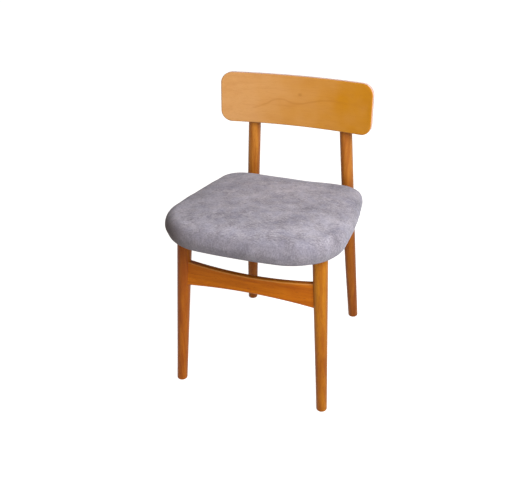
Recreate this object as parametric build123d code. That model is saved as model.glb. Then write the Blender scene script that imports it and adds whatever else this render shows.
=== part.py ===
from build123d import *
import os
from math import cos, radians, sin, sqrt

# Dining chair. Millimetres, +Z up, the front faces -Y.
# Left is -X and right is +X for a person who faces the front of the chair.

# Seat plan, measured on the raked underside of the seat board, from mid depth
SEAT_UNDER_Z = 405.0
SEAT_RAKE = 4.6
SEAT_FRONT = 231.0
SEAT_BACK = 182.0
SEAT_FRONT_WIDTH = 448.0
SEAT_BACK_WIDTH = 374.0
SEAT_FRONT_BOW = 17.0
SEAT_SIDE_BOW = 10.0
SEAT_BACK_BOW = 2.0
SEAT_FRONT_CORNER = 135.0
SEAT_BACK_CORNER = 58.0

# Seat edge and crown, measured up from the underside of the board
SEAT_WIDEST = 34.0
SEAT_TUCK = 14.0
SEAT_SHOULDER_RISE = 18.0
SEAT_SHOULDER_ROUND = 16.0
SEAT_LEAN_IN = 3.0
SEAT_CROWN = 6.0

# Seat layers
BOARD_THICK = 12.0
COVER_THICK = 1.2
COVER_WRAP = 30.0
DUST_COVER_THICK = 0.8
DUST_COVER_MARGIN = 6.0
SOFT_GAP = 0.3

# Staples under the seat
STAPLES_PER_SIDE = 6
STAPLE_CROWN = 10.0
STAPLE_WIRE = 0.8
STAPLE_WIDTH = 1.2
STAPLE_LEG = 7.0
STAPLE_MARGIN = 9.0
STAPLE_GAP = 0.05

# Front legs: turned, tapered, on straight axes
FRONT_FOOT_X = 191.0
FRONT_FOOT_Y = -186.0
FRONT_HEAD_X = 170.0
FRONT_HEAD_Y = -145.0
FRONT_FOOT_D = 26.6
FRONT_HEAD_D = 36.5

# Rear legs: curved in the side view, straight in the front view, oval section
REAR_FOOT_X = 157.5
REAR_TOP_X = 118.5
REAR_FOOT_Y = 238.6
REAR_WAIST_Y = 219.5
REAR_TOP_Y = 220.0
REAR_WAIST_Z = 417.0
REAR_TOP_Z = 690.0
REAR_FOOT_D = 26.5
REAR_WAIST_WIDTH = 32.0
REAR_WAIST_DEPTH = 35.0
REAR_TOP_WIDTH = 30.5
REAR_TOP_DEPTH = 41.0
REAR_STATIONS = 8
REAR_TOP_ROUND = 5.0
FOOT_ROUND = 4.0

# Front rail: waisted board between the front legs, in the plane of their axes
FRONT_RAIL_LOW = 281.0
FRONT_RAIL_HEIGHT = 67.0
FRONT_RAIL_ARCH = 10.0
FRONT_RAIL_DIP = 14.5
FRONT_RAIL_THICK = 18.0

# Side rails and rear rail under the seat
SIDE_RAIL_HEIGHT = 36.0
SIDE_RAIL_THICK = 20.0
REAR_RAIL_HEIGHT = 40.0
REAR_RAIL_THICK = 20.0
RAIL_ROUND = 3.5

# Rear corner blocks
BLOCK_LEG = 60.0
BLOCK_THICK = 24.0
BLOCK_SCREW_INSET = 36.0

# Dowels
DOWEL_D = 8.0
DOWEL_LENGTH = 34.0
DOWEL_IN_LEG = 11.0
DOWEL_END_GAP = 0.5
SIDE_DOWEL_SPACING = 18.0
REAR_DOWEL_SPACING = 18.0
FRONT_DOWEL_SPACING = 32.0

# Backrest: moulded plywood panel, curved about an upright axis in front of it
BACK_WIDTH = 402.5
BACK_HEIGHT = 129.0
BACK_THICK = 13.5
BACK_RADIUS = 830.0
BACK_TILT = 5.5
BACK_BELOW_TOP = 42.5
BACK_CORNER = 29.0
BACK_EDGE_ROUND = 3.0
BACK_LET_IN = 5.0
BACK_SCREW_SPACING = 52.0

# Screws, all with pan heads
SCREW_D = 4.0
SCREW_HEAD_D = 8.0
SCREW_HEAD_HEIGHT = 2.6
SCREW_TIP = 4.0
SCREW_POINT_D = 0.8
SCREW_SLOT_LENGTH = 4.6
SCREW_SLOT_WIDTH = 0.9
SCREW_SLOT_DEPTH = 1.4
SEAT_SCREW_GRIP = 14.0
SEAT_SCREW_BITE = 9.0
SEAT_SCREW_FROM_LEG = 75.0
SEAT_SCREW_SPACING = 185.0
BLOCK_SCREW_GRIP = 16.0
BLOCK_SCREW_BITE = 14.0
BACK_SCREW_GRIP = 25.0
BACK_SCREW_BITE = 9.0
PLUG_D = 9.5

# Glides under the feet
GLIDE_D = 16.0
GLIDE_PROUD = 1.5
GLIDE_SUNK = 2.0
GLIDE_ROUND = 0.8
NAIL_D = 2.4
NAIL_LENGTH = 16.0
NAIL_HEAD_D = 6.0
NAIL_HEAD_HEIGHT = 1.0
NAIL_HEAD_SUNK = 0.5
NAIL_TIP = 2.4
NAIL_POINT_D = 0.4

# Clearances
GLUE_GAP = 0.1
BORE_GAP = 0.1
HEAD_GAP = 0.6
OVERRUN = 40.0

# Shares of the seat's height at which its edge is drawn, below and above the widest line
EDGE_STEPS = (1.0, 0.85, 0.5, 0.0)
SHOULDER_STEPS = (0.5, 1.0)

# Steps of the search for a height on a leg's axis
AXIS_STEPS = 30

STANDING = (Align.CENTER, Align.CENTER, Align.MIN)
SIDES = {"left": -1, "right": 1}

# The seat rests on the frame through its folded cover and its dust cover
SEAT_PLANE = Plane(
    origin=(0, 0, SEAT_UNDER_Z),
    x_dir=(1, 0, 0),
    z_dir=(0, sin(radians(SEAT_RAKE)), cos(radians(SEAT_RAKE))),
)
FRAME_PLANE = SEAT_PLANE.offset(-COVER_THICK - DUST_COVER_THICK)


def rod(place, radius, start, end):
    """Round bar along the Z direction of a plane, between two distances along it."""
    return place * Pos(0, 0, start) * Cylinder(radius, end - start, align=STANDING)


def through(z, stations, values):
    """Value at z of the parabola through three values at three stations."""
    (a, b, c), (p, q, r) = stations, values
    first = p * (z - b) * (z - c) / ((a - b) * (a - c))
    second = q * (z - a) * (z - c) / ((b - a) * (b - c))
    third = r * (z - a) * (z - b) / ((c - a) * (c - b))
    return first + second + third


def frame_top(y):
    """Height of the frame plane above the floor at a depth y."""
    rise = FRAME_PLANE.z_dir
    return FRAME_PLANE.origin.Z - (y - FRAME_PLANE.origin.Y) * rise.Y / rise.Z


# Leg axes and sections


FRONT_HEAD_Z = frame_top(FRONT_HEAD_Y)
REAR_HEIGHTS = (0.0, REAR_WAIST_Z, REAR_TOP_Z)
BACK_CENTRE_Z = REAR_TOP_Z - BACK_BELOW_TOP


def front_axis(side, z):
    """Point of a front leg's axis at height z."""
    share = z / FRONT_HEAD_Z
    x = FRONT_FOOT_X + (FRONT_HEAD_X - FRONT_FOOT_X) * share
    y = FRONT_FOOT_Y + (FRONT_HEAD_Y - FRONT_FOOT_Y) * share
    return Vector(side * x, y, z)


def front_radius(z):
    """Radius of a front leg at height z."""
    return (FRONT_FOOT_D + (FRONT_HEAD_D - FRONT_FOOT_D) * z / FRONT_HEAD_Z) / 2


def rear_axis(side, z):
    """Point of a rear leg's axis at height z."""
    x = REAR_FOOT_X + (REAR_TOP_X - REAR_FOOT_X) * z / REAR_TOP_Z
    y = through(z, REAR_HEIGHTS, (REAR_FOOT_Y, REAR_WAIST_Y, REAR_TOP_Y))
    return Vector(side * x, y, z)


def rear_half_width(z):
    """Half of a rear leg's width at height z."""
    return through(z, REAR_HEIGHTS, (REAR_FOOT_D, REAR_WAIST_WIDTH, REAR_TOP_WIDTH)) / 2


def rear_half_depth(z):
    """Half of a rear leg's depth, front to back, at height z."""
    return through(z, REAR_HEIGHTS, (REAR_FOOT_D, REAR_WAIST_DEPTH, REAR_TOP_DEPTH)) / 2


def axis_at_depth(axis, side, depth):
    """Point of a leg axis that lies a depth below the frame plane."""
    z = SEAT_UNDER_Z
    for _ in range(AXIS_STEPS):
        z -= FRAME_PLANE.to_local_coords(axis(side, z)).Z + depth
    return axis(side, z)


def front_leg_blank(side, grow=0.0):
    """Round tapered leg that overruns both of its ends, its seam on the outer side."""
    along = front_axis(side, FRONT_HEAD_Z) - front_axis(side, 0)
    across = Vector(0, 1, 0).cross(along) * side
    sections = []
    for z in (-OVERRUN, FRONT_HEAD_Z / 2, FRONT_HEAD_Z + OVERRUN):
        place = Plane(origin=front_axis(side, z), x_dir=across, z_dir=along)
        sections.append(place * Circle(front_radius(z) + grow))
    return loft(sections)


def rear_leg_blank(side, grow=0.0):
    """Curved oval leg, lofted through level sections from the foot to the top."""
    sections = []
    for index in range(REAR_STATIONS):
        z = GLIDE_PROUD + (REAR_TOP_Z - GLIDE_PROUD) * index / (REAR_STATIONS - 1)
        oval = Ellipse(rear_half_depth(z) + grow, rear_half_width(z) + grow, rotation=90)
        sections.append(Pos(rear_axis(side, z)) * oval)
    return loft(sections)


# Seat


def seat_outline(inset):
    """Plan of the seat, drawn in from its widest line."""
    front = inset - SEAT_FRONT
    back = SEAT_BACK - inset
    half_front = SEAT_FRONT_WIDTH / 2 - inset
    half_back = SEAT_BACK_WIDTH / 2 - inset
    half_middle = (half_front + half_back) / 2 + SEAT_SIDE_BOW
    middle = (front + back) / 2
    front_left, front_right = (-half_front, front), (half_front, front)
    back_left, back_right = (-half_back, back), (half_back, back)
    plan = make_face([
        ThreePointArc(front_left, (0, front - SEAT_FRONT_BOW), front_right),
        ThreePointArc(front_right, (half_middle, middle), back_right),
        ThreePointArc(back_right, (0, back + SEAT_BACK_BOW), back_left),
        ThreePointArc(back_left, (-half_middle, middle), front_left),
    ])
    plan = fillet(plan.vertices().sort_by(Axis.Y)[:2], SEAT_FRONT_CORNER - inset)
    return fillet(plan.vertices().sort_by(Axis.Y)[-2:], SEAT_BACK_CORNER - inset)


def seat_form(shrink):
    """Upholstered seat, smaller all round by shrink: drawn-in sides, crowned top, round shoulder."""
    base = shrink - COVER_THICK
    top = SEAT_WIDEST + SEAT_SHOULDER_RISE + SEAT_CROWN
    sections = []
    for step in EDGE_STEPS:
        tuck = SEAT_TUCK * (1 - sqrt(1 - step**2))
        height = SEAT_WIDEST - (SEAT_WIDEST - base) * step
        sections.append(Pos(0, 0, height) * seat_outline(tuck + shrink))
    for step in SHOULDER_STEPS:
        height = SEAT_WIDEST + (top - SEAT_WIDEST) * step
        sections.append(Pos(0, 0, height) * seat_outline(SEAT_LEAN_IN * step**2 + shrink))
    half = SEAT_FRONT_WIDTH / 2
    radius = (half**2 + SEAT_CROWN**2) / (2 * SEAT_CROWN)
    dome = Pos(0, (SEAT_BACK - SEAT_FRONT) / 2, top - radius) * Sphere(radius - shrink)
    body = loft(sections) & dome
    rim = body.faces().sort_by(Axis.Z)[-1].edges()
    return fillet(rim, SEAT_SHOULDER_ROUND - shrink)


def seat_sheet(inset, low, high):
    """Flat layer of the seat between two heights over the underside."""
    return Pos(0, 0, low) * extrude(seat_outline(inset), high - low)


def staple_planes():
    """Places of the staples, evenly round the underside, X along the edge."""
    rim = seat_outline(SEAT_TUCK + STAPLE_MARGIN).wire()
    count = 4 * STAPLES_PER_SIDE
    under = -COVER_THICK - DUST_COVER_THICK
    places = []
    for index in range(count):
        share = (index + 0.5) / count
        spot = rim.position_at(share)
        along = rim.tangent_at(share)
        places.append(Plane(origin=(spot.X, spot.Y, under), x_dir=along, z_dir=(0, 0, 1)))
    return places


def staple(grow=0.0):
    """One staple, driven flush: a crown in the dust cover and two legs up into the board."""
    width = STAPLE_WIDTH + 2 * grow
    shape = Box(STAPLE_CROWN + 2 * grow, width, STAPLE_WIRE + grow, align=STANDING)
    for end in SIDES.values():
        leg = Box(STAPLE_WIRE + 2 * grow, width, STAPLE_LEG + grow, align=STANDING)
        shape += Pos(end * (STAPLE_CROWN - STAPLE_WIRE) / 2, 0, 0) * leg
    return shape


# Fasteners


def wood_screw(length):
    """Pan-head screw with a cross recess: bearing face at 0, point along +Z."""
    head = Cylinder(SCREW_HEAD_D / 2, SCREW_HEAD_HEIGHT, align=STANDING)
    head = fillet(head.edges().sort_by(Axis.Z)[0], SCREW_HEAD_HEIGHT / 2)
    screw = Pos(0, 0, -SCREW_HEAD_HEIGHT) * head
    screw += Cylinder(SCREW_D / 2, length - SCREW_TIP, align=STANDING)
    tip = Cone(SCREW_D / 2, SCREW_POINT_D / 2, SCREW_TIP, align=STANDING)
    screw += Pos(0, 0, length - SCREW_TIP) * tip
    slot = Pos(0, 0, -SCREW_HEAD_HEIGHT) * Box(SCREW_SLOT_LENGTH, SCREW_SLOT_WIDTH, 2 * SCREW_SLOT_DEPTH)
    return screw - slot - Rot(0, 0, 90) * slot


def screw_bore(place, length, head_radius):
    """Clearance for a screw and the counterbore over its head."""
    shank = rod(place, SCREW_D / 2 + BORE_GAP, 0, length + BORE_GAP)
    return shank + rod(place, head_radius, -OVERRUN, 0)


def dowel_planes(point, direction, up, spacing):
    """Planes of a pair of dowels, Z from the leg's axis into the rail."""
    return [Plane(origin=point + up * (step * spacing / 2), z_dir=direction) for step in SIDES.values()]


def dowel(place, leg_radius):
    """Dowel across the joint between a leg and a rail."""
    start = leg_radius - DOWEL_IN_LEG
    return rod(place, DOWEL_D / 2, start, start + DOWEL_LENGTH)


def dowel_bore(place, leg_radius):
    """Hole for a dowel, a little wider and longer."""
    start = leg_radius - DOWEL_IN_LEG
    return rod(place, DOWEL_D / 2 + BORE_GAP, start - DOWEL_END_GAP, start + DOWEL_LENGTH + DOWEL_END_GAP)


# Frame


def rail_board(place, length, thick, height, align):
    """Straight rail with eased long edges."""
    board = Box(length, thick, height, align=align)
    return place * fillet(board.edges().filter_by(Axis.X), RAIL_ROUND)


def side_rail_plane(side):
    """Origin on the front leg's axis, X towards the rear leg, Z square to the seat."""
    start = axis_at_depth(front_axis, side, SIDE_RAIL_HEIGHT / 2)
    end = axis_at_depth(rear_axis, side, SIDE_RAIL_HEIGHT / 2)
    return Plane(origin=start, x_dir=end - start, z_dir=FRAME_PLANE.z_dir), (end - start).length


def rear_rail_plane():
    """Origin midway between the rear legs, X along the rail, Z square to the seat."""
    right = axis_at_depth(rear_axis, 1, REAR_RAIL_HEIGHT / 2)
    return Plane(origin=(0, right.Y, right.Z), x_dir=(1, 0, 0), z_dir=FRAME_PLANE.z_dir), 2 * right.X


def front_rail_plane():
    """Plane of the front legs' axes: X across, Y up along the legs, Z to the front."""
    low, high = front_axis(0, 0), front_axis(0, FRONT_HEAD_Z)
    lean = high - low
    return Plane(origin=low, x_dir=(1, 0, 0), z_dir=(0, -lean.Z, lean.Y))


def front_rail_reach(height):
    """Distance from the middle to a front leg's axis, at a height."""
    return front_axis(1, height).X


def front_rail_board():
    """Waisted board: its lower edge arches up and its upper edge dips."""
    low = FRONT_RAIL_LOW
    high = low + FRONT_RAIL_HEIGHT
    reach = front_rail_reach(low + FRONT_RAIL_HEIGHT / 2)
    outline = make_face([
        Spline((-reach, low), (0, low + FRONT_RAIL_ARCH), (reach, low)),
        Line((reach, low), (reach, high)),
        Spline((reach, high), (0, high - FRONT_RAIL_DIP), (-reach, high)),
        Line((-reach, high), (-reach, low)),
    ])
    board = extrude(outline, FRONT_RAIL_THICK / 2, both=True)
    long_edges = board.edges().filter_by(GeomType.BSPLINE)
    return front_rail_plane() * fillet(long_edges, RAIL_ROUND)


def block_corner(side):
    """Inner corner of side rail and rear rail in the frame plane, with both directions away from it."""
    rail, length = side_rail_plane(side)
    rear, _ = rear_rail_plane()
    end = FRAME_PLANE.to_local_coords(rail.from_local_coords((length, side * SIDE_RAIL_THICK / 2, 0)))
    along = FRAME_PLANE.to_local_coords(rail.from_local_coords((0, side * SIDE_RAIL_THICK / 2, 0))) - end
    along = Vector(along.X, along.Y, 0).normalized()
    line = FRAME_PLANE.to_local_coords(rear.from_local_coords((0, -REAR_RAIL_THICK / 2, 0))).Y
    corner = Vector(end.X, end.Y, 0) + along * ((line - end.Y) / along.Y)
    return corner, along, Vector(-side, 0, 0)


def corner_block(side):
    """Triangular block against both rails, under the seat."""
    corner, along, across = block_corner(side)
    ends = [corner, corner + along * BLOCK_LEG, corner + across * BLOCK_LEG]
    triangle = make_face(Polyline(*[(end.X, end.Y) for end in ends], close=True))
    return FRAME_PLANE * extrude(triangle, -BLOCK_THICK)


def block_screw_planes(side):
    """One screw into the side rail and one into the rear rail, Z into the rail, bearing face at 0."""
    corner, along, across = block_corner(side)
    middle = Vector(0, 0, -BLOCK_THICK / 2)
    into_side = Vector(-along.Y, along.X, 0) * side
    into_rear = Vector(0, 1, 0)
    places = []
    for run, into in ((along, into_side), (across, into_rear)):
        seat = corner + run * BLOCK_SCREW_INSET + middle - into * BLOCK_SCREW_GRIP
        spot = FRAME_PLANE.from_local_coords(seat)
        heading = FRAME_PLANE.from_local_coords(seat + into) - spot
        places.append(Plane(origin=spot, z_dir=heading))
    return places


def seat_screw_places(side):
    """Seat screws through the side rail, Z up into the board, bearing face at 0."""
    rail, _ = side_rail_plane(side)
    place = FRAME_PLANE.offset(-SEAT_SCREW_GRIP)
    places = []
    for reach in (SEAT_SCREW_FROM_LEG, SEAT_SCREW_FROM_LEG + SEAT_SCREW_SPACING):
        spot = FRAME_PLANE.to_local_coords(rail.from_local_coords((reach, 0, 0)))
        places.append(place * Pos(spot.X, spot.Y))
    return places


# Backrest


def back_place():
    """Middle of the panel's front face: Y up along the panel, Z to the front."""
    post = rear_axis(1, BACK_CENTRE_Z)
    lean = radians(BACK_TILT)
    behind = BACK_RADIUS - sqrt((BACK_RADIUS + BACK_THICK) ** 2 - post.X**2)
    setback = rear_half_depth(BACK_CENTRE_Z) - BACK_LET_IN - behind
    middle = (0, post.Y - setback / cos(lean), BACK_CENTRE_Z)
    return Plane(origin=middle, x_dir=(1, 0, 0), z_dir=(0, -cos(lean), sin(lean)))


def back_slab(front, rear, low, high):
    """Part of a tube wall about the panel's upright axis, between two radii and two heights."""
    height = high - low
    wall = Rot(90, 0, 0) * (Cylinder(rear, height) - Cylinder(front, height))
    behind = Box(2 * BACK_WIDTH, height, 2 * BACK_RADIUS, align=(Align.CENTER, Align.CENTER, Align.MAX))
    return Pos(0, (low + high) / 2, BACK_RADIUS) * (wall & behind)


def backrest_panel():
    """Curved panel with rounded corners and eased edges."""
    slab = back_slab(BACK_RADIUS, BACK_RADIUS + BACK_THICK, -BACK_HEIGHT / 2, BACK_HEIGHT / 2)
    shape = RectangleRounded(BACK_WIDTH, BACK_HEIGHT, BACK_CORNER)
    panel = slab & extrude(shape, BACK_RADIUS / 2, both=True)
    faces = panel.faces().filter_by(GeomType.CYLINDER).sort_by(SortBy.AREA)[-2:]
    edges = [edge for face in faces for edge in face.edges()]
    return back_place() * fillet(edges, BACK_EDGE_ROUND)


def back_seat_cut():
    """Space that the panel needs in the front of the posts."""
    high = BACK_HEIGHT / 2 + OVERRUN
    cut = back_slab(BACK_RADIUS - OVERRUN, BACK_RADIUS + BACK_THICK + GLUE_GAP, -BACK_HEIGHT / 2, high)
    return back_place() * cut


def back_screw_planes(side):
    """Screws through a post, Z into the panel, bearing face at 0."""
    panel = back_place()
    post = rear_axis(side, BACK_CENTRE_Z)
    outer = BACK_RADIUS + BACK_THICK
    turn = post.X / outer
    reach = BACK_SCREW_GRIP + outer
    places = []
    for step in SIDES.values():
        y = step * BACK_SCREW_SPACING / 2
        spot = panel.from_local_coords((reach * sin(turn), y, BACK_RADIUS - reach * cos(turn)))
        axis = panel.from_local_coords((0, y, BACK_RADIUS))
        places.append(Plane(origin=spot, z_dir=axis - spot))
    return places


# Glides


def glide_place(axis, side):
    """Floor point under a leg's axis, Z up."""
    foot = axis(side, 0)
    return Plane(origin=(foot.X, foot.Y, 0), z_dir=(0, 0, 1))


def glide(place):
    """Nylon disc with an eased rim and a sunk seat for its nail."""
    disc = Cylinder(GLIDE_D / 2, GLIDE_PROUD + GLIDE_SUNK, align=STANDING)
    disc = fillet(disc.edges().sort_by(Axis.Z)[0], GLIDE_ROUND)
    disc -= Cylinder(NAIL_HEAD_D / 2 + BORE_GAP, NAIL_HEAD_SUNK + NAIL_HEAD_HEIGHT, align=STANDING)
    disc -= Cylinder(NAIL_D / 2 + BORE_GAP, GLIDE_PROUD + GLIDE_SUNK, align=STANDING)
    return place * disc


def glide_nail(place):
    """Nail driven up through the glide into the foot."""
    bearing = NAIL_HEAD_SUNK + NAIL_HEAD_HEIGHT
    neck = bearing + NAIL_LENGTH - NAIL_TIP
    head = rod(place, NAIL_HEAD_D / 2, NAIL_HEAD_SUNK, bearing)
    shank = rod(place, NAIL_D / 2, NAIL_HEAD_SUNK, neck)
    tip = place * Pos(0, 0, neck) * Cone(NAIL_D / 2, NAIL_POINT_D / 2, NAIL_TIP, align=STANDING)
    return head + shank + tip


def glide_bore(place):
    """Recess in a foot for the glide and the nail."""
    recess = rod(place, GLIDE_D / 2 + BORE_GAP, -OVERRUN, GLIDE_PROUD + GLIDE_SUNK)
    point = NAIL_HEAD_SUNK + NAIL_HEAD_HEIGHT + NAIL_LENGTH
    return recess + rod(place, NAIL_D / 2 + BORE_GAP, 0, point + BORE_GAP)


# Assembly


parts = {}
groups = {}


def add_to_group(name, solid):
    """Put one more separate solid into a shared node."""
    groups.setdefault(name, ShapeList()).extend(solid.solids())


board = seat_sheet(SEAT_TUCK + COVER_THICK + SOFT_GAP, 0, BOARD_THICK)
opening = seat_sheet(SEAT_TUCK + COVER_WRAP, -COVER_THICK, 0)
cover = seat_form(0) - seat_form(COVER_THICK) - opening
below_foam = seat_sheet(0, -COVER_THICK, BOARD_THICK)
foam = seat_form(COVER_THICK + SOFT_GAP) - below_foam
dust_cover = seat_sheet(SEAT_TUCK + DUST_COVER_MARGIN, -COVER_THICK - DUST_COVER_THICK, -COVER_THICK)
staple_cuts = [place * staple(STAPLE_GAP) for place in staple_planes()]
board -= staple_cuts
cover -= staple_cuts
dust_cover -= staple_cuts
for place in staple_planes():
    add_to_group("seat_staples", SEAT_PLANE * place * staple())
board, cover, foam, dust_cover = [SEAT_PLANE * layer for layer in (board, cover, foam, dust_cover)]

seat_screw_length = SEAT_SCREW_GRIP + COVER_THICK + DUST_COVER_THICK + SEAT_SCREW_BITE
block_screw_length = BLOCK_SCREW_GRIP + BLOCK_SCREW_BITE
back_screw_length = BACK_SCREW_GRIP + BACK_SCREW_BITE
head_radius = SCREW_HEAD_D / 2 + HEAD_GAP

rear_plane, rear_length = rear_rail_plane()
rear_rail = rail_board(rear_plane, rear_length, REAR_RAIL_THICK, REAR_RAIL_HEIGHT, (Align.CENTER,) * 3)
front_rail = front_rail_board()
panel = backrest_panel()
seat_cut = back_seat_cut()
front_plane = front_rail_plane()
front_middle = FRONT_RAIL_LOW + FRONT_RAIL_HEIGHT / 2

for name, side in SIDES.items():
    front_envelope = front_leg_blank(side, GLUE_GAP)
    rear_envelope = rear_leg_blank(side, GLUE_GAP)

    front_leg = split(front_leg_blank(side), Plane(origin=(0, 0, GLIDE_PROUD)), keep=Keep.TOP)
    front_leg = split(front_leg, FRAME_PLANE, keep=Keep.BOTTOM)
    front_leg = fillet(front_leg.edges().sort_by(Axis.Z)[0], FOOT_ROUND)
    rear_leg = rear_leg_blank(side)
    rings = rear_leg.edges().filter_by(GeomType.LINE, reverse=True)
    rear_leg = fillet(rings.sort_by(Axis.Z)[-1], REAR_TOP_ROUND)
    rear_leg = fillet(rear_leg.edges().sort_by(Axis.Z)[0], FOOT_ROUND)
    rear_leg -= seat_cut

    rail_plane, rail_length = side_rail_plane(side)
    side_rail = rail_board(
        rail_plane, rail_length, SIDE_RAIL_THICK, SIDE_RAIL_HEIGHT, (Align.MIN, Align.CENTER, Align.CENTER)
    )
    side_rail -= front_envelope
    side_rail -= rear_envelope
    rear_rail -= rear_envelope
    front_rail -= front_envelope
    block = corner_block(side) - rear_envelope

    front_joint = rail_plane.origin
    front_grip = front_radius(front_joint.Z)
    for place in dowel_planes(front_joint, rail_plane.x_dir, rail_plane.z_dir, SIDE_DOWEL_SPACING):
        add_to_group("side_rail_front_dowels", dowel(place, front_grip))
        bore = dowel_bore(place, front_grip)
        side_rail -= bore
        front_leg -= bore

    rear_joint = rail_plane.from_local_coords((rail_length, 0, 0))
    rear_grip = rear_half_depth(rear_joint.Z)
    for place in dowel_planes(rear_joint, -rail_plane.x_dir, rail_plane.z_dir, SIDE_DOWEL_SPACING):
        add_to_group("side_rail_rear_dowels", dowel(place, rear_grip))
        bore = dowel_bore(place, rear_grip)
        side_rail -= bore
        rear_leg -= bore

    cross_joint = rear_plane.from_local_coords((side * rear_length / 2, 0, 0))
    cross_grip = rear_half_width(cross_joint.Z)
    for place in dowel_planes(cross_joint, Vector(-side, 0, 0), rear_plane.z_dir, REAR_DOWEL_SPACING):
        add_to_group("rear_rail_dowels", dowel(place, cross_grip))
        bore = dowel_bore(place, cross_grip)
        rear_rail -= bore
        rear_leg -= bore

    low_joint = front_plane.from_local_coords((side * front_rail_reach(front_middle), front_middle, 0))
    low_grip = front_radius(low_joint.Z)
    for place in dowel_planes(low_joint, Vector(-side, 0, 0), front_plane.y_dir, FRONT_DOWEL_SPACING):
        add_to_group("front_rail_dowels", dowel(place, low_grip))
        bore = dowel_bore(place, low_grip)
        front_rail -= bore
        front_leg -= bore

    for place in block_screw_planes(side):
        add_to_group("corner_block_screws", place * wood_screw(block_screw_length))
        bore = screw_bore(place, block_screw_length, head_radius)
        block -= bore
        side_rail -= rod(place, SCREW_D / 2 + BORE_GAP, 0, block_screw_length + BORE_GAP)
        rear_rail -= rod(place, SCREW_D / 2 + BORE_GAP, 0, block_screw_length + BORE_GAP)

    for place in seat_screw_places(side):
        add_to_group("seat_screws", place * wood_screw(seat_screw_length))
        bore = place * screw_bore(Plane.XY, seat_screw_length, head_radius)
        side_rail -= bore
        board -= bore
        cover -= bore
        dust_cover -= bore

    for place in back_screw_planes(side):
        add_to_group("backrest_screws", place * wood_screw(back_screw_length))
        bore = screw_bore(place, back_screw_length, PLUG_D / 2 + BORE_GAP)
        plug = rod(place, PLUG_D / 2, -OVERRUN, -SCREW_HEAD_HEIGHT) & rear_leg_blank(side)
        add_to_group("backrest_screw_plugs", plug)
        rear_leg -= bore
        panel -= bore

    for end, axis in (("front", front_axis), ("rear", rear_axis)):
        place = glide_place(axis, side)
        parts[f"glide_{end}_{name}"] = glide(place)
        add_to_group("glide_nails", glide_nail(place))
    front_leg -= glide_bore(glide_place(front_axis, side))
    rear_leg -= glide_bore(glide_place(rear_axis, side))

    parts[f"front_leg_{name}"] = front_leg
    parts[f"rear_leg_{name}"] = rear_leg
    parts[f"side_rail_{name}"] = side_rail
    parts[f"corner_block_{name}"] = block

parts["front_rail"] = front_rail
parts["rear_rail"] = rear_rail
parts["backrest_panel"] = panel
parts["seat_board"] = board
parts["seat_foam"] = foam
parts["seat_cover"] = cover
parts["seat_dust_cover"] = dust_cover
parts.update(groups)

# The origin lies on the floor, under the middle of the whole chair
boxes = [solid.bounding_box() for part in parts.values() for solid in part.solids()]
middle_y = (min(box.min.Y for box in boxes) + max(box.max.Y for box in boxes)) / 2
os.makedirs("parts", exist_ok=True)
for name, part in parts.items():
    solids = [Pos(0, -middle_y, 0) * solid for solid in part.solids()]
    export_step(Compound(solids), f"parts/{name}.step")
print("nodes", len(parts), "depth shift", round(-middle_y, 3))
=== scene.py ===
from math import pi, radians

import bmesh
import bpy
import numpy
from mathutils import Matrix, Vector, noise


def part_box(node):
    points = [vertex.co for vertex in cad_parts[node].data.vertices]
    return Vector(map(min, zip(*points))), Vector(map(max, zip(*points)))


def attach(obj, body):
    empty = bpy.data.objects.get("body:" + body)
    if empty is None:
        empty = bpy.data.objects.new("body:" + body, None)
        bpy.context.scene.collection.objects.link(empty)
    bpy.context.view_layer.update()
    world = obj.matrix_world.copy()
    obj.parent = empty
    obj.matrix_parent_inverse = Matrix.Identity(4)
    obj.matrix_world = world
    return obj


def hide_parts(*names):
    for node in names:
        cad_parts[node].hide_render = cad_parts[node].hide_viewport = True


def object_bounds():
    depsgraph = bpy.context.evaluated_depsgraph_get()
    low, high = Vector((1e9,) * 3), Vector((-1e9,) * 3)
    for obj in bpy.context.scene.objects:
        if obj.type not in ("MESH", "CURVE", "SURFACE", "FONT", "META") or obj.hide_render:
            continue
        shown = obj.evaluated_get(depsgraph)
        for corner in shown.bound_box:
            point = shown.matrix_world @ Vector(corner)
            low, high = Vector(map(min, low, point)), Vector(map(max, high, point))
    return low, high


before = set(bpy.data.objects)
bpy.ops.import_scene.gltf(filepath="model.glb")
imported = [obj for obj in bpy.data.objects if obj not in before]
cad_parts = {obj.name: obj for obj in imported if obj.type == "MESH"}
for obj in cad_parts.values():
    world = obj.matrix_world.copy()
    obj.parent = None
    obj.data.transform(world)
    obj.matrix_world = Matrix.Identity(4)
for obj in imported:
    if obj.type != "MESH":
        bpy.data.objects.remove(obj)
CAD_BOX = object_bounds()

bl_info = {
    "name": "Dining chair",
    "version": (1, 0, 0),
    "blender": (4, 5, 0),
    "location": "3D View > Sidebar > Dining chair",
    "description": "Dresses the frame of a padded wooden dining chair and sets its studio stage",
    "category": "Object",
}

MM = 0.001
BODY = "root"
REAR_LEGS = ("rear_leg_left", "rear_leg_right", "backrest_screw_plugs")
CROSS_RAILS = ("front_rail", "rear_rail")
SIDE_RAILS = ("side_rail_left", "side_rail_right")
BARE_WOOD = (
    "corner_block_left", "corner_block_right", "front_rail_dowels", "rear_rail_dowels",
    "side_rail_front_dowels", "side_rail_rear_dowels",
)
SCREWS = ("seat_screws", "corner_block_screws", "backrest_screws", "glide_nails")
GLIDES = ("glide_front_left", "glide_front_right", "glide_rear_left", "glide_rear_right")
IMAGE_WIDTH = 526
SENSOR_WIDTH = 36.0

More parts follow.
